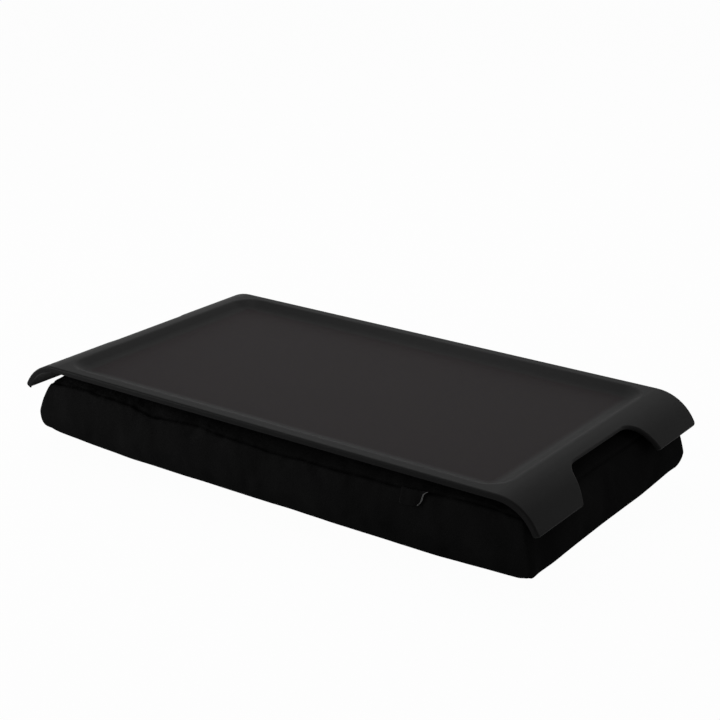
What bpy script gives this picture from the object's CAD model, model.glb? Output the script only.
"""The look of the lap tray and its cushion.

Places and sizes are in millimetres, and those of the camera, the lamps and the floor in metres.
"""

import math

import bpy
from mathutils import Matrix, Vector, noise
from mathutils.bvhtree import BVHTree


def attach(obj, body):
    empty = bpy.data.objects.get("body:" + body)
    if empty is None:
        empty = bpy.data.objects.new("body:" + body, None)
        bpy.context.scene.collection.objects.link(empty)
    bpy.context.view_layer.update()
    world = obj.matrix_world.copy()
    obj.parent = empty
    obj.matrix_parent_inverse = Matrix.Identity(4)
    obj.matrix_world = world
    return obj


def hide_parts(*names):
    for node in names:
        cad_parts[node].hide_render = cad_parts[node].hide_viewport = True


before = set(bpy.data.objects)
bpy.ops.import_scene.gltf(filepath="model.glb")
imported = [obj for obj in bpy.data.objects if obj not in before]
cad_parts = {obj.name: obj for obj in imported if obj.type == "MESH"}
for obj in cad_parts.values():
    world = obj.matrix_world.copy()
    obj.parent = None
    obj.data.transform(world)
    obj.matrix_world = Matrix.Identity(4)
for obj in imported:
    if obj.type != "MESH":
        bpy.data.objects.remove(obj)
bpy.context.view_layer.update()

MM = 0.001
scene = bpy.context.scene

# Camera at the photograph's place
azimuth, elevation, roll = (math.radians(angle) for angle in (34.9, 19.6, 0.7))
flat = math.cos(elevation)
back = Vector((math.sin(azimuth) * flat, -math.cos(azimuth) * flat, math.sin(elevation)))
right = Vector((math.cos(azimuth), math.sin(azimuth), 0))
up = back.cross(right)
across = math.cos(roll) * right + math.sin(roll) * up
over = math.cos(roll) * up - math.sin(roll) * right
camera = bpy.data.objects.new("camera", bpy.data.cameras.new("camera"))
camera.matrix_world = Matrix((across, over, back)).transposed().to_4x4()
camera.location = (0.62445, -0.88606, 0.46513)
camera.data.lens = 79.585
camera.data.sensor_width = 36
scene.collection.objects.link(camera)
scene.camera = camera
scene.view_settings.view_transform = "Standard"


# Materials
def node(tree, kind, **settings):
    """New shader node with its settings."""
    made = tree.nodes.new("ShaderNode" + kind)
    for name, value in settings.items():
        setattr(made, name, value)
    return made


def put(tree, socket, value):
    """Sets a socket to a value, or links another socket to it."""
    if isinstance(value, bpy.types.NodeSocket):
        tree.links.new(value, socket)
    else:
        socket.default_value = value


def noise_of(tree, scale, detail=3.0, stretch=None):
    """Noise over the object, with its scale in bumps per metre."""
    place = node(tree, "TexCoord").outputs["Object"]
    if stretch:
        mapping = node(tree, "Mapping")
        put(tree, mapping.inputs["Vector"], place)
        put(tree, mapping.inputs["Scale"], stretch)
        place = mapping.outputs["Vector"]
    texture = node(tree, "TexNoise")
    put(tree, texture.inputs["Vector"], place)
    put(tree, texture.inputs["Scale"], scale)
    put(tree, texture.inputs["Detail"], detail)
    return texture.outputs["Fac"]


def result_of(tree, operation, *values):
    """Result of one arithmetic node."""
    made = node(tree, "Math", operation=operation)
    for socket, value in zip(made.inputs, values):
        put(tree, socket, value)
    return made.outputs[0]


def spread(tree, value, low, high, new_low=0.0, new_high=1.0, smooth=False):
    """Maps a value from one range to another."""
    made = node(tree, "MapRange", interpolation_type="SMOOTHSTEP" if smooth else "LINEAR")
    names = ("Value", "From Min", "From Max", "To Min", "To Max")
    for name, setting in zip(names, (value, low, high, new_low, new_high)):
        put(tree, made.inputs[name], setting)
    return made.outputs["Result"]


def blended(tree, share, low, high):
    """Colour between two others."""
    made = node(tree, "Mix", data_type="RGBA")
    put(tree, made.inputs["Factor"], share)
    put(tree, made.inputs["A"], low)
    put(tree, made.inputs["B"], high)
    return made.outputs["Result"]


def bumped(tree, height, depth, normal=None):
    """Normal bent by a height from 0 to 1, which stands for a depth in millimetres."""
    made = node(tree, "Bump")
    put(tree, made.inputs["Height"], height)
    put(tree, made.inputs["Distance"], depth * MM)
    if normal:
        put(tree, made.inputs["Normal"], normal)
    return made.outputs["Normal"]


def material(name, **values):
    """New material whose main shader has the given socket values, and its node tree."""
    made = bpy.data.materials.new(name)
    made.use_nodes = True
    shader = made.node_tree.nodes["Principled BSDF"]
    for socket, value in values.items():
        put(made.node_tree, shader.inputs[socket.replace("_", " ")], value)
    return made, made.node_tree, shader


def grey(level):
    """Opaque grey."""
    return (level, level, level, 1)


# Floor of the recess, which has a matte finish up to its edges and above a height
MATTE_HALF_LENGTH, MATTE_HALF_WIDTH, MATTE_EDGE = 175.2, 95.8, 5.0
MATTE_LOW, MATTE_HIGH = 59.0, 59.5


def tray_plastic():
    """Satin black moulding with a matte, slightly warm finish on the floor of the recess."""
    made, tree, shader = material("tray_plastic", Specular_IOR_Level=0.034)
    place = node(tree, "SeparateXYZ")
    put(tree, place.inputs[0], node(tree, "TexCoord").outputs["Object"])
    shares = []
    for axis, limit in enumerate((MATTE_HALF_LENGTH, MATTE_HALF_WIDTH)):
        distance = result_of(tree, "ABSOLUTE", place.outputs[axis])
        shares.append(spread(tree, distance, (limit - MATTE_EDGE) * MM, limit * MM, 1, 0, smooth=True))
    inside = result_of(tree, "MULTIPLY", *shares)
    raised = spread(tree, place.outputs[2], MATTE_LOW * MM, MATTE_HIGH * MM)
    floor_share = result_of(tree, "MULTIPLY", inside, raised)
    cloudy = noise_of(tree, 9, 4)
    fine = noise_of(tree, 1600, 2)
    shell = blended(tree, cloudy, grey(0.0080), grey(0.0100))
    mat = blended(tree, cloudy, (0.0068, 0.0048, 0.0052, 1), (0.0096, 0.0064, 0.0070, 1))
    put(tree, shader.inputs["Base Color"], blended(tree, floor_share, shell, mat))
    gloss = spread(tree, noise_of(tree, 260, 3), 0.3, 0.7, 0.455, 0.485)
    dull = spread(tree, fine, 0.3, 0.7, 0.47, 0.53)
    rough = node(tree, "Mix", data_type="FLOAT")
    put(tree, rough.inputs["Factor"], floor_share)
    put(tree, rough.inputs["A"], gloss)
    put(tree, rough.inputs["B"], dull)
    put(tree, shader.inputs["Roughness"], rough.outputs["Result"])
    grain = result_of(tree, "MULTIPLY", fine, spread(tree, floor_share, 0, 1, 0.15, 1.0))
    put(tree, shader.inputs["Normal"], bumped(tree, grain, 0.05))
    return made


def velour():
    """Black brushed velour: short pile, faint tracks in the nap and a soft sheen at grazing angles."""
    made, tree, shader = material(
        "cover_velour", Roughness=1.0, Specular_IOR_Level=0.0, Sheen_Weight=0.012, Sheen_Roughness=0.35,
        Sheen_Tint=(0.8, 0.8, 0.85, 1),
    )
    nap = noise_of(tree, 45, 4, (1, 1, 0.6))
    pile = noise_of(tree, 1500, 2)
    nap_tone = result_of(tree, "MULTIPLY", nap, 0.65)
    tone = result_of(tree, "ADD", nap_tone, result_of(tree, "MULTIPLY", pile, 0.35))
    cloth = blended(tree, spread(tree, tone, 0.3, 0.7), grey(0.0050), grey(0.0088))
    crease = node(tree, "Attribute", attribute_name="crease").outputs["Fac"]
    patchy = spread(tree, noise_of(tree, 120, 3), 0.35, 0.6, 0.3, 1.0)
    broken = result_of(tree, "MULTIPLY", crease, patchy)
    put(tree, shader.inputs["Base Color"], blended(tree, broken, cloth, grey(0.0012)))
    crinkle = node(tree, "Attribute", attribute_name="crinkle").outputs["Fac"]
    folds = noise_of(tree, 130, 4, (1, 1, 1.8))
    rumple = bumped(tree, result_of(tree, "MULTIPLY", folds, crinkle), 3.0)
    tufts = bumped(tree, noise_of(tree, 420, 3), 0.22, rumple)
    put(tree, shader.inputs["Normal"], bumped(tree, pile, 0.16, tufts))
    return made


def woven(name, low, high, pitch, depth, roughness, gloss=0.1):
    """Plain woven cloth with threads at a pitch in millimetres, from a dark to a light colour."""
    made, tree, shader = material(name, Roughness=roughness, Specular_IOR_Level=gloss, Sheen_Weight=0.02)
    place = node(tree, "SeparateXYZ")
    put(tree, place.inputs[0], node(tree, "TexCoord").outputs["Object"])
    turn = 2 * math.pi / (pitch * MM)
    waves = []
    for axis, lag in ((0, 0.0), (2, 0.5), (1, 0.0)):
        angle = result_of(tree, "MULTIPLY_ADD", place.outputs[axis], turn, lag)
        waves.append(result_of(tree, "SINE", angle))
    threads = result_of(tree, "MULTIPLY", waves[0], result_of(tree, "ADD", waves[1], waves[2]))
    height = spread(tree, threads, -1.2, 1.2)
    put(tree, shader.inputs["Base Color"], blended(tree, height, low, high))
    fuzz = result_of(tree, "ADD", height, noise_of(tree, 900))
    put(tree, shader.inputs["Normal"], bumped(tree, fuzz, depth))
    return made


def fuzzy(name, low, high, size, depth):
    """Tape of hooks or loops, as small dark and light tufts of a size in millimetres."""
    made, tree, shader = material(name, Roughness=0.9, Specular_IOR_Level=0.15, Sheen_Weight=0.05)
    tufts = node(tree, "TexVoronoi")
    put(tree, tufts.inputs["Vector"], node(tree, "TexCoord").outputs["Object"])
    put(tree, tufts.inputs["Scale"], 1 / (size * MM))
    height = spread(tree, tufts.outputs["Distance"], 0.1, 0.7, 1, 0)
    put(tree, shader.inputs["Base Color"], blended(tree, height, low, high))
    put(tree, shader.inputs["Normal"], bumped(tree, height, depth))
    return made


def plain(name, level, roughness, size, depth, **values):
    """Nearly even black surface with a fine grain of a size in millimetres."""
    made, tree, shader = material(name, **values)
    grain = noise_of(tree, 1 / (size * MM), 3)
    put(tree, shader.inputs["Base Color"], blended(tree, grain, grey(level * 0.8), grey(level * 1.2)))
    gloss = spread(tree, grain, 0.3, 0.7, roughness * 0.85, roughness * 1.15)
    put(tree, shader.inputs["Roughness"], gloss)
    put(tree, shader.inputs["Normal"], bumped(tree, grain, depth))
    return made


def dress(look, *names):
    """Gives carried-over solids their material."""
    for name in names:
        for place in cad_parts[name].material_slots:
            place.link = "OBJECT"
            place.material = look


cover_look = velour()
thread_look = woven("sewing_thread", grey(0.010), grey(0.020), 0.5, 0.05, 0.6)
dress(tray_plastic(), "tray_shell")
hook_look = fuzzy("hook_tape", grey(0.008), grey(0.030), 0.9, 0.35)
loop_look = fuzzy("loop_tape", grey(0.006), grey(0.022), 0.5, 0.25)
for number in range(1, 5):
    dress(hook_look, f"hook_patch_{number}")
    dress(loop_look, f"loop_patch_{number}")
dress(woven("zip_tape", grey(0.010), grey(0.022), 0.7, 0.08, 0.8), "zip_tape_lower", "zip_tape_upper")
dress(
    plain("zip_plastic", 0.02, 0.38, 0.3, 0.02, Specular_IOR_Level=0.4),
    "zip_teeth_lower", "zip_teeth_upper", "zip_top_stops", "zip_bottom_stop",
)
dress(
    plain("zip_enamel", 0.018, 0.30, 0.4, 0.01, Specular_IOR_Level=0.6, Coat_Weight=0.3),
    "zip_slider", "zip_pull",
)

# Cushion, whose outline and sections follow the sewn cover
LOW_Z, BASE_Z, MIDDLE_Z, TOP_Z, HIGH_Z = -0.5, 10.0, 30.0, 50.0, 55.5
HALF_LENGTH, FRONT_REACH, BACK_Y = 206.0, 109.5, 112.0
TOP_SHORTER, TOP_DEEPER = 4.5, 3.0
CROWN_RUN, BASE_RUN, FRONT_CORNER, BACK_CORNER = 15.0, 24.0, 4.0, 6.5
FRONT_BOW, END_HOLLOW = 4.0, 3.0

# Band, which swells most at a share of its height, at its ends and at its front
START_SWELL, FULLEST, ROUNDNESS = 0.96, 0.31, 0.8
SWELL_POWER = math.log(0.5) / math.log(FULLEST)
END_SWELL, FRONT_SWELL, END_BOW_SWELL, FRONT_BOW_SWELL = 9.0, 6.5, 2.0, 3.5

# How far the swollen cushion reaches to its ends and its front
SWOLLEN_X, SWOLLEN_FRONT = 214.0, 116.0

# Slot for the zip, and the flat back that it lies in
SLOT_LOW, SLOT_HIGH, SLOT_BACK, SLOT_LIP = 24.5, 35.5, 108.2, 111.4
STRIP_END, STRIP_SEAM, FLAT_BACK = 195.5, 1.1, 199

# Places of the points round a ring: near the corners, and evenly between them
ARC_STEPS = (0.0, 0.36, 0.68, 1.0)
FIELD_END, FIELD_COUNT = 192.5, 46
SIDE_PLACES = [197.0, 196.3, STRIP_END, 194.4, FIELD_END]
SIDE_PLACES += [FIELD_END * (1 - n / FIELD_COUNT) for n in range(1, FIELD_COUNT + 1)]
END_STEPS, END_COUNT = [9.0, 12.0], 23

# Loop patches on the top, which is held under them and a little way round them
PATCH_X, PATCH_Y, PATCH_LENGTH, PATCH_WIDTH, PATCH_MARGIN = 114.89, 60.0, 60.0, 25.0, 3.0


def section(kind, share):
    """Height, half length, front, back, swell and scale of one ring of the cushion."""
    if kind == "band":
        swell = START_SWELL * math.sin(math.pi * share**SWELL_POWER) ** ROUNDNESS
        half = HALF_LENGTH - TOP_SHORTER * share + END_SWELL * swell
        front = FRONT_REACH + TOP_DEEPER * share + FRONT_SWELL * swell
        return BASE_Z + (TOP_Z - BASE_Z) * share, half, front, BACK_Y, swell, 1.0
    if kind == "base":
        draw_in = BASE_RUN * (1 - share)
        z = LOW_Z + (BASE_Z - LOW_Z) * share**2
        half, front = HALF_LENGTH, FRONT_REACH
    else:
        draw_in = CROWN_RUN * (1 - share)
        z = HIGH_Z - (HIGH_Z - TOP_Z) * share**2
        half, front = HALF_LENGTH - TOP_SHORTER, FRONT_REACH + TOP_DEEPER
    corner_x = half + END_HOLLOW
    return z, half - draw_in, front - draw_in, BACK_Y - draw_in, 0.0, (corner_x - draw_in) / corner_x


def rounded(distance, radius):
    """How far a point of a side lies in from the corner, along the side and across it."""
    if distance >= radius:
        return distance, 0.0
    angle = math.radians(45) * (1 - distance / radius)
    return radius * (1 - math.sin(angle)), radius * (1 - math.cos(angle))


def ring(kind, share):
    """Points round the cushion at one section: front, right end, back and left end."""
    z, half, front, rear, swell, scale = section(kind, share)
    front_bow = FRONT_BOW + FRONT_BOW_SWELL * swell
    end_bow = END_BOW_SWELL * swell - END_HOLLOW
    corner_x = half - end_bow
    low, high = front_bow - front, rear
    middle, reach = (low + high) / 2, (high - low) / 2
    # Side -1 is the front or the right end, side 1 the back or the left end
    radii = {-1: FRONT_CORNER, 1: BACK_CORNER}
    longs, shorts = {}, {}
    for side, radius in radii.items():
        longs[side] = [corner_x - step * radius for step in ARC_STEPS] + [x * scale for x in SIDE_PLACES]
        steps = [step * radius for step in ARC_STEPS] + END_STEPS
        start = END_STEPS[-1]
        steps += [start + (reach - start) * n / END_COUNT for n in range(1, END_COUNT + 1)]
        shorts[side] = [reach - step for step in steps]
    points = []
    for side in (-1, 1):
        line = [-place for place in longs[side]] + longs[side][-2::-1]
        for x in line[:-1]:
            inward, across_it = rounded(corner_x - abs(x), radii[side])
            inner_x = math.copysign(corner_x - inward, x)
            bow = front_bow * (1 - (inner_x / corner_x) ** 2)
            y = low + across_it - bow if side < 0 else high - across_it
            points.append((-side * inner_x, y, z))
        line = [-place for place in shorts[side]] + shorts[-side][-2::-1]
        for y in line[:-1]:
            inward, across_it = rounded(reach - abs(y), radii[side if y < 0 else -side])
            inner_y = math.copysign(reach - inward, y)
            bow = end_bow * (1 - (inner_y / reach) ** 2)
            points.append((-side * (corner_x - across_it + bow), middle - side * inner_y, z))
    return points


# Places along the front, each with the rise of the top or the base seam there
SEAM_KNOTS = (
    (-205, 0.5), (-184, 2.0), (-166, 3.1), (-150, 2.7), (-130, 2.7), (-115, 2.2), (-104, -0.6),
    (-92, -1.9), (-78, 0.4), (-62, 1.6), (-48, 1.8), (-30, 0.3), (-4, -0.1), (10, -1.2), (25, -1.0),
    (40, 0.2), (54, -0.4), (70, -0.4), (89, 0.4), (112, 0.5), (130, 1.4), (147, 2.8), (169, 3.8),
    (184, 3.4), (205, 1.0),
)
BASE_KNOTS = (
    (-205, 0.5), (-185, 0.4), (-165, -0.4), (-145, -0.8), (-125, -1.6), (-100, -0.9), (-75, -0.8),
    (-55, 0.0), (0, 0.0), (20, 0.6), (40, 0.0), (60, -0.7), (95, -0.9), (115, -1.4), (140, -1.8),
    (160, -1.0), (180, 0.0), (205, 0.7),
)


def course_at(knots, x):
    """Smooth course through knots at a place along the front."""
    for (left, low), (next_left, high) in zip(knots[:-1], knots[1:]):
        if left <= x <= next_left:
            share = (x - left) / (next_left - left)
            return low + (high - low) * share * share * (3 - 2 * share)
    return knots[0][1] if x < 0 else knots[-1][1]


def seam_rise(x):
    """How far the front top seam strays above its straight line at a place along the front."""
    return course_at(SEAM_KNOTS, x) + 0.25 * math.sin(x / 2.7) * math.sin(x / 11)


# Rings of the cushion from the base to the top, each with its share of the way through its kind
base_shares = (0.222, 0.36, 0.52, 0.68, 0.82, 0.93)
slot_z = [SLOT_LOW - 0.7, SLOT_LOW + 0.1, SLOT_LOW + 0.5, MIDDLE_Z]
slot_z += [SLOT_HIGH - 0.5, SLOT_HIGH - 0.1, SLOT_HIGH + 0.7]
slot_shares = [(z - BASE_Z) / (TOP_Z - BASE_Z) for z in slot_z]
band_shares = [0.0, 0.03, 0.08, 0.15, 0.22, 0.29, *slot_shares, 0.73, 0.80, 0.87, 0.93, 0.975, 1.0]
top_shares = (0.93, 0.82, 0.66, 0.48, 0.25, 0.0)
rings = [("base", share) for share in base_shares] + [("band", share) for share in band_shares]
rings += [("top", share) for share in top_shares]
BASE_SEAM, TOP_SEAM = len(base_shares), len(base_shares) + len(band_shares) - 1
NX = 2 * (len(ARC_STEPS) + len(SIDE_PLACES) - 1)
NY = 2 * (len(ARC_STEPS) + len(END_STEPS) + END_COUNT - 1)
N = 2 * (NX + NY)

vertices = [Vector(point) for kind, share in rings for point in ring(kind, share)]
faces = []
for level in range(len(rings) - 1):
    for n in range(N):
        a, b = level * N + n, level * N + (n + 1) % N
        faces.append((a, b, b + N, a + N))


def cap(level):
    """Fills the outline of one ring with a grid, and returns the numbers of its points."""
    start = level * N
    edge = {}
    for i in range(NX + 1):
        edge[i, 0] = start + i
        edge[i, NY] = start + NX + NY + NX - i
    for j in range(NY + 1):
        edge[NX, j] = start + NX + j
        edge[0, j] = start + (2 * NX + 2 * NY - j) % N
    corners = [[vertices[edge[i, j]] for j in (0, NY)] for i in (0, NX)]
    inner = dict(edge)
    for i in range(1, NX):
        for j in range(1, NY):
            near, far, left, rear = (vertices[edge[at]] for at in ((i, 0), (i, NY), (0, j), (NX, j)))
            u = (near.x - corners[0][0].x) / (corners[1][0].x - corners[0][0].x)
            v = (left.y - corners[0][0].y) / (corners[0][1].y - corners[0][0].y)
            point = near * (1 - v) + far * v + left * (1 - u) + rear * u
            point -= (corners[0][0] * (1 - u) + corners[1][0] * u) * (1 - v)
            point -= (corners[0][1] * (1 - u) + corners[1][1] * u) * v
            inner[i, j] = len(vertices)
            vertices.append(point)
    for i in range(NX):
        for j in range(NY):
            face = (inner[i, j], inner[i + 1, j], inner[i + 1, j + 1], inner[i, j + 1])
            faces.append(face if level else face[::-1])
    return set(inner.values())


underside = cap(0)
crown = cap(len(rings) - 1)


def on_back(index):
    """Whether a ring's point lies on the flat back between the corners."""
    in_row = index < len(rings) * N and NX + NY < index % N < NX + NY + NX
    return in_row and abs(vertices[index].x) < FLAT_BACK


def fade(value, start, end):
    """How much of the way from a start to an end a value has gone, from 0 to 1."""
    return min(1.0, max(0.0, (value - start) / (end - start)))


# The front seams stray up and down, and take the rings beside them along
for level, (kind, share) in enumerate(rings):
    for n in range(NX + 1):
        point = vertices[level * N + n]
        if kind == "base":
            point.z += course_at(BASE_KNOTS, point.x) * share**2
        elif kind == "band":
            point.z += seam_rise(point.x) * max(0.0, (share - 0.55) / 0.45)
            point.z += course_at(BASE_KNOTS, point.x) * max(0.0, 1 - share / 0.45)
        else:
            point.z += seam_rise(point.x) * share**2

# The back corners are fuller above than at the base, by up to 3 mm
for point in vertices:
    low_share = fade(point.z, 24.0, 14.0) * fade(abs(point.x), 150.0, 195.0)
    point.x -= math.copysign(3.0 * low_share * fade(point.y, 45.0, 95.0) ** 1.3, point.x)

# The left front corner is drawn in, most of all above, and the right one has a crisp foot
CRISP_X, CRISP_Y = 209.0, -106.0
for point in vertices:
    soft_share = fade(point.x, -150.0, -200.0) ** 2 * fade(point.y, -50.0, -105.0) ** 2
    high_share = fade(point.z, 25.0, 50.0)
    point.x += (1.6 + 2.4 * high_share) * soft_share
    point.y += (0.8 + 0.8 * high_share) * soft_share
    point.z -= 1.4 * high_share * soft_share
    distance = math.hypot(point.x - CRISP_X, point.y - CRISP_Y)
    low_share = fade(point.z, 48.0, 33.0)
    push_out = 1.9 * max(0.0, 1 - distance / 9.0) * low_share
    draw_in = 1.8 * max(0.0, 1 - distance / 28.0) * low_share
    point.x += 0.7 * push_out - draw_in
    point.y -= 0.7 * push_out


def from_corner(point):
    """How far a point of the sides lies from the nearest upright corner, up to 1 at 30 mm."""
    from_end = abs(abs(point.x) - SWOLLEN_X)
    from_side = min(abs(point.y + SWOLLEN_FRONT), abs(point.y - BACK_Y))
    return min(1.0, max(from_end, from_side) / 30.0)


def under_patch(point):
    """Whether a point of the top lies under one of the four patches or close beside it."""
    over_x = abs(abs(point.x) - PATCH_X) - PATCH_LENGTH / 2
    over_y = abs(abs(point.y) - PATCH_Y) - PATCH_WIDTH / 2
    return max(over_x, over_y) < PATCH_MARGIN


# What is held: the underside, the seams, the back with its zip, and the top under the patches.
# All else starts with some low lumps of the beads and may move up to a limit, which is low on the
# band near its seams and near the upright corners.
CROWN_LIMIT, LEAST_LIMIT = 1.1, 0.05
held, limits = set(), {}
for index, point in enumerate(vertices):
    level = index // N if index < len(rings) * N else None
    in_base = index in underside or (level is not None and level <= BASE_SEAM)
    if in_base or level == TOP_SEAM or on_back(index) or (index in crown and under_patch(point)):
        held.add(index)
        continue
    if index in crown:
        limits[index] = CROWN_LIMIT
    else:
        share = rings[level][1] if rings[level][0] == "band" else 1.0
        near_base = min(1.0, 0.03 + (share / 0.3) ** 1.5)
        near_top = min(1.0, 0.3 + (1 - share) / 0.2)
        limits[index] = near_base * near_top * from_corner(point) + LEAST_LIMIT
    lump = noise.noise(point * 0.022) * 0.6 + noise.noise(point * 0.13 + Vector((7, 3, 1))) * 0.1
    outwards = Vector((point.x / SWOLLEN_X, point.y / BACK_Y, 0.3)).normalized()
    vertices[index] = point + outwards * lump


def mesh_piece(name, points, sides, looks):
    """New smooth mesh object from points in millimetres, which rides on the cushion."""
    mesh = bpy.data.meshes.new(name)
    mesh.from_pydata([Vector(point) * MM for point in points], [], sides)
    mesh.polygons.foreach_set("use_smooth", [True] * len(sides))
    piece = bpy.data.objects.new(name, mesh)
    scene.collection.objects.link(piece)
    for look in looks:
        mesh.materials.append(look)
    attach(piece, "cushion")
    return piece


# Frames of the simulation, and the height under which no point may sink
FRAMES, CLEARANCE = 20, 0.4


def inflate(points):
    """The points after a short cloth simulation with the seams held and the beads pressing outwards."""
    mesh = bpy.data.meshes.new("inflating")
    mesh.from_pydata([point * MM for point in points], [], faces)
    pad = bpy.data.objects.new("inflating", mesh)
    scene.collection.objects.link(pad)
    group = pad.vertex_groups.new(name="held")
    group.add(sorted(held), 1.0, "REPLACE")
    cloth = pad.modifiers.new("cloth", "CLOTH").settings
    cloth.quality = 6
    cloth.mass = 0.25
    cloth.tension_stiffness = 12
    cloth.compression_stiffness = 12
    cloth.shear_stiffness = 4
    cloth.bending_stiffness = 0.4
    cloth.use_pressure = True
    cloth.uniform_pressure_force = 4
    cloth.vertex_group_mass = "held"
    cloth.pin_stiffness = 5
    cloth.shrink_min = -0.02
    cloth.effector_weights.gravity = 0
    scene.frame_start, scene.frame_end = 1, FRAMES
    for number in range(1, FRAMES + 1):
        scene.frame_set(number)
    graph = bpy.context.evaluated_depsgraph_get()
    result = [vertex.co / MM for vertex in pad.evaluated_get(graph).data.vertices]
    bpy.data.objects.remove(pad)
    scene.frame_set(1)
    blown = []
    for index, (before, after) in enumerate(zip(points, result)):
        move = after - before
        if index in held or move.length <= 1e-6:
            blown.append(before.copy())
            continue
        limit = limits[index]
        move *= limit * math.tanh(move.length / limit) / move.length
        place = before + move
        place.z = max(before.z + move.z, min(before.z, CLEARANCE))
        blown.append(place)
    return blown


vertices = inflate(vertices)

# Seams pull in, and the cloth beside them puckers in uneven folds about 12 mm apart
SEAM_PINCH = {BASE_SEAM: 0.5, TOP_SEAM: 2.1}
PUCKER_START, PUCKER_END, PUCKER_FADE = 1.0, 14.0, 3.5
UPPER_PUCKER, LOWER_PUCKER = 1.0, 0.1
draft = bpy.data.meshes.new("draft")
draft.from_pydata(vertices, [], faces)
normals = [vertex.normal.copy() for vertex in draft.vertices]
bpy.data.meshes.remove(draft)
for level in range(len(rings)):
    for n in range(N):
        index = level * N + n
        point = vertices[index]
        if level in SEAM_PINCH:
            vertices[index] = point - normals[index] * SEAM_PINCH[level]
            continue
        if on_back(index):
            continue
        away = min(abs(point.z - vertices[seam * N + n].z) for seam in SEAM_PINCH)
        run = point.x + point.y * 1.3
        wave = math.sin(run / 1.9 + 2.5 * math.sin(run / 23)) * 0.4
        ripple = wave + noise.noise(Vector((run * 0.16, away * 0.1, 5)))
        if PUCKER_START < away < PUCKER_END:
            depth = UPPER_PUCKER if point.z > MIDDLE_Z else LOWER_PUCKER
            fold = normals[index] * max(0.0, ripple) * depth * math.exp(-away / PUCKER_FADE)
            vertices[index] = point - fold

# The band's back has an upright seam at each end of its strips, and the slot of the zip between them
for level in range(BASE_SEAM, TOP_SEAM + 1):
    for n in range(NX + NY, NX + NY + NX + 1):
        point = vertices[level * N + n]
        if abs(abs(point.x) - STRIP_END) < 0.2:
            point.y -= STRIP_SEAM
        elif abs(point.x) < STRIP_END - 0.5 and SLOT_LOW < point.z < SLOT_HIGH:
            from_edge = min(point.z - SLOT_LOW, SLOT_HIGH - point.z)
            point.y = SLOT_BACK if from_edge > 0.3 else SLOT_LIP

cushion = mesh_piece("cushion_cover", vertices, faces, [cover_look])
cushion.modifiers.new("finer", "SUBSURF").levels = 1
cushion.modifiers["finer"].render_levels = 1

# The velour is creased and crinkled along the front top seam, most of all in its left half
CRINKLE_FADE = 7.0
crease_depths = {TOP_SEAM - 1: 0.7, TOP_SEAM: 1.0, TOP_SEAM + 1: 0.5}
creases, crinkles = [0.0] * len(vertices), [0.0] * len(vertices)
for level in range(BASE_SEAM + 1, len(rings)):
    for n in range(1, NX):
        index = level * N + n
        point = vertices[index]
        left_share = 0.35 + 0.65 * fade(point.x, 20.0, -100.0)
        away = abs(point.z - vertices[TOP_SEAM * N + n].z)
        creases[index] = crease_depths.get(level, 0.0) * (0.5 + 0.5 * left_share)
        crinkles[index] = math.exp(-away / CRINKLE_FADE) * left_share
for name, shares in (("crease", creases), ("crinkle", crinkles)):
    cushion.data.attributes.new(name, "FLOAT", "POINT").data.foreach_set("value", shares)
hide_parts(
    "cover_top_panel", "cover_base_panel", "cover_side_band", "cover_back_strip_lower",
    "cover_back_strip_upper", "inner_bag", "bead_filling",
)
surface = BVHTree.FromPolygons([point.copy() for point in vertices], faces)


def front_at(x, z):
    """Where the cushion's front is at a place seen from the front."""
    hit = surface.ray_cast(Vector((x, -200, z)), Vector((0, 1, 0)))[0]
    return hit.y if hit else -BACK_Y


# Folded label, whose right side slants from LABEL_RIGHT at the seam to LABEL_END at its foot
LABEL_LEFT, LABEL_RIGHT, LABEL_END, LABEL_LOW = 117.8, 139.9, 132.0, 41.2

# Share of its width up to the selvedge
LABEL_FIELD = 0.95
rows, columns = 16, 16


def label_point(u, v, off):
    """Point of the label at shares across and down it, some way off the cushion's front."""
    x = LABEL_LEFT + (LABEL_RIGHT - LABEL_LEFT) * u
    top = TOP_Z + seam_rise(x) + 0.2 + 1.6 * u**4
    low = LABEL_LOW + 1.2 * u**2
    z = top + (low - top) * v
    slant = (LABEL_RIGHT - LABEL_END) * v + 1.3 * math.sin(math.pi * v) + 0.9 * math.sin(2 * math.pi * v)
    x -= slant * u
    edge_share = min(1.0, u / 0.15)
    lift = 0.15 + 0.2 * edge_share + 0.4 * math.sin(math.pi * u) * v**2 + 0.25 * v
    lift += 1.6 * u**3 * (1 - v) ** 2
    return x, front_at(x, min(z, TOP_Z - 0.5)) - lift - off * (0.3 + 0.7 * edge_share), z


# Two sheets of the label, one behind the other, and the border that joins them
label_points, label_faces, label_looks = [], [], []
for off in (0.0, 1.0):
    for row in range(rows + 1):
        for column in range(columns + 1):
            u = column / (columns - 1) * LABEL_FIELD if column < columns else 1.0
            label_points.append(label_point(u, row / rows, off))
width = columns + 1
count = (rows + 1) * width
for row in range(rows):
    for column in range(columns):
        a = row * width + column
        b = count + a
        label_faces.append((a, a + 1, a + width + 1, a + width))
        label_faces.append((b, b + width, b + width + 1, b + 1))
        label_looks += [1 if column == columns - 1 else 0] * 2
border = [(n, n + 1) for n in range(columns)]
border += [(columns + row * width, columns + (row + 1) * width) for row in range(rows)]
border += [(rows * width + n + 1, rows * width + n) for n in range(columns)]
border += [((row + 1) * width, row * width) for row in range(rows)]
for n, (a, b) in enumerate(border):
    label_faces.append((a, a + count, b + count, b))
    label_looks.append(1 if columns <= n < columns + rows else 0)
ribbon = woven("label_ribbon", grey(0.004), grey(0.008), 0.35, 0.03, 0.8, 0.0)
selvedge = woven("label_selvedge", grey(0.10), grey(0.18), 0.5, 0.08, 0.8)
label = mesh_piece("label_fold", label_points, label_faces, [ribbon, selvedge])
label.data.polygons.foreach_set("material_index", label_looks)
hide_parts("side_label")


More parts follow.
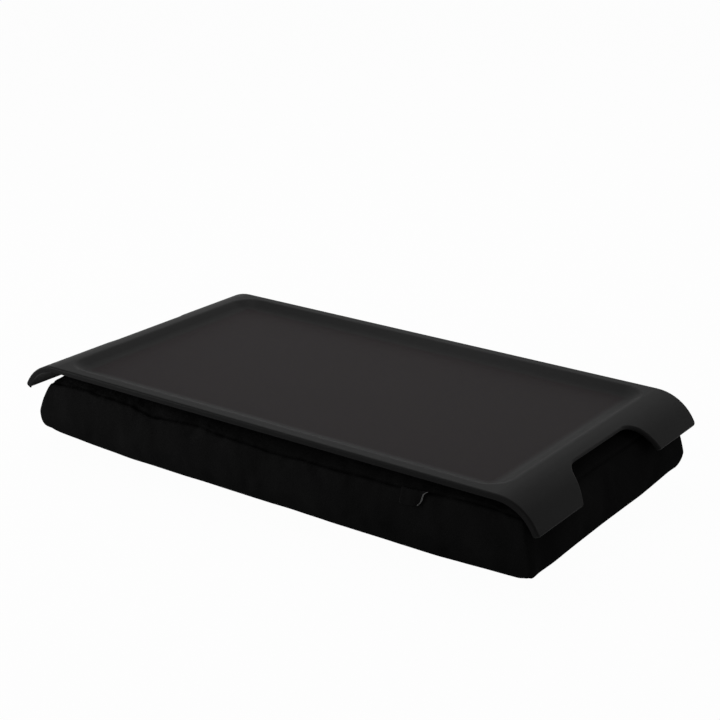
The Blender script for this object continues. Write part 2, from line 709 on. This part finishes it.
# Stitching: the rings of one thread at shares of its length, each with its share of the radius
THREAD_RINGS = ((-0.5, 0.25), (-0.36, 0.9), (0.0, 1.0), (0.36, 0.9), (0.5, 0.25))
THREAD_SIDES = 6


def add_thread(points, sides, middle, way, length, radius):
    """Adds one flat-lying thread with rounded ends to the points and faces of a piece."""
    side = way.cross(Vector((0, 0, 1))).normalized()
    rise = side.cross(way)
    first = len(points)
    for share, size in THREAD_RINGS:
        for k in range(THREAD_SIDES):
            angle = 2 * math.pi * k / THREAD_SIDES
            turn = side * math.cos(angle) + rise * math.sin(angle)
            points.append(middle + way * length * share + turn * radius * size)
    last = len(points) - THREAD_SIDES
    for start in range(first, last, THREAD_SIDES):
        for k in range(THREAD_SIDES):
            a, b = start + k, start + (k + 1) % THREAD_SIDES
            sides.append((a, a + THREAD_SIDES, b + THREAD_SIDES, b))
    sides.append(tuple(range(first, first + THREAD_SIDES)))
    sides.append(tuple(range(last, last + THREAD_SIDES))[::-1])


def stitches(name, paths, length, gap, radius):
    """Rows of threads along polylines, as one piece."""
    points, sides = [], []
    for path in paths:
        for start, end in zip(path[:-1], path[1:]):
            run = Vector(end) - Vector(start)
            number = int(run.length / (length + gap))
            step = run / number
            for n in range(number):
                middle = Vector(start) + step * (n + 0.5)
                add_thread(points, sides, middle, step.normalized(), length, radius)
    mesh_piece(name, points, sides, [thread_look])


# Rows of stitches above and below the zip's slot, and along the edges of the patches
ROW_END, ROW_Y, ROW_Z, ROW_INSET = 193.0, 112.05, 56.42, 2.0
zip_rows = []
for z in (SLOT_LOW - ROW_INSET, SLOT_HIGH + ROW_INSET):
    zip_rows.append([(-ROW_END, ROW_Y, z), (ROW_END, ROW_Y, z)])
stitches("zip_stitching", zip_rows, 2.4, 0.9, 0.28)
patch_rows = []
wide, deep = PATCH_LENGTH / 2 - ROW_INSET, PATCH_WIDTH / 2 - ROW_INSET
corners = [(-wide, -deep), (wide, -deep), (wide, deep), (-wide, deep), (-wide, -deep)]
for x in (-PATCH_X, PATCH_X):
    for y in (-PATCH_Y, PATCH_Y):
        patch_rows.append([(x + a, y + b, ROW_Z) for a, b in corners])
stitches("patch_stitching", patch_rows, 2.2, 0.8, 0.2)


# Floor, backdrop and light
def white_to_camera(tree, share, gloss_share):
    """Share of plain white that the camera, reflections and clear things see."""
    path = node(tree, "LightPath")
    gloss = result_of(tree, "MULTIPLY", path.outputs["Is Glossy Ray"], gloss_share)
    seen = result_of(tree, "MAXIMUM", path.outputs["Is Camera Ray"], gloss)
    seen = result_of(tree, "MAXIMUM", seen, path.outputs["Is Transmission Ray"])
    return result_of(tree, "MULTIPLY", seen, share)


bpy.ops.mesh.primitive_plane_add(size=24)
floor = bpy.context.object
floor.name = "floor"
floor_look, tree, shader = material(
    "floor_paper", Base_Color=grey(0.45), Roughness=0.9, Specular_IOR_Level=0.1
)
glow = node(tree, "Emission")
put(tree, glow.inputs["Strength"], 1.0)
mixed = node(tree, "MixShader")
put(tree, mixed.inputs[0], white_to_camera(tree, 0.975, 0.4))
tree.links.new(shader.outputs[0], mixed.inputs[1])
tree.links.new(glow.outputs[0], mixed.inputs[2])
tree.links.new(mixed.outputs[0], tree.nodes["Material Output"].inputs["Surface"])
floor.data.materials.append(floor_look)

# The studio is grey to the object, and white to the camera and low down in reflections
world = bpy.data.worlds.new("studio")
world.use_nodes = True
scene.world = world
tree = world.node_tree
place = node(tree, "SeparateXYZ")
put(tree, place.inputs[0], node(tree, "TexCoord").outputs["Generated"])
height = spread(tree, place.outputs[2], 0.04, 0.22, smooth=True)
studio = blended(tree, height, grey(0.55), grey(0.31))
sweep = spread(tree, place.outputs[2], 0.30, 0.50, 1, 0, smooth=True)
backdrop = blended(tree, white_to_camera(tree, 1.0, sweep), studio, grey(0.975))
put(tree, tree.nodes["Background"].inputs["Color"], backdrop)
put(tree, tree.nodes["Background"].inputs["Strength"], 1.0)


def softbox(name, place, aim, size, power):
    """Square area light that points at a place, with its size in metres and its power in watts."""
    lamp = bpy.data.lights.new(name, "AREA")
    lamp.size = size
    lamp.energy = power
    made = bpy.data.objects.new(name, lamp)
    made.location = place
    made.rotation_euler = (Vector(aim) - Vector(place)).to_track_quat("-Z", "Y").to_euler()
    scene.collection.objects.link(made)


aim = (0, 0, 0.03)
softbox("upper_softbox", (-0.35, 0.1, 1.0), aim, 0.6, 4.75)
softbox("front_softbox", (-0.75, -0.6, 0.2), aim, 0.5, 4.6)
softbox("rear_softbox", (-0.7, 1.1, 1.3), aim, 1.0, 4.8)
softbox("far_softbox", (0.2, 1.6, 1.0), aim, 1.0, 2.8)
softbox("right_softbox", (1.4, 0.8, 0.6), aim, 0.8, 2.0)
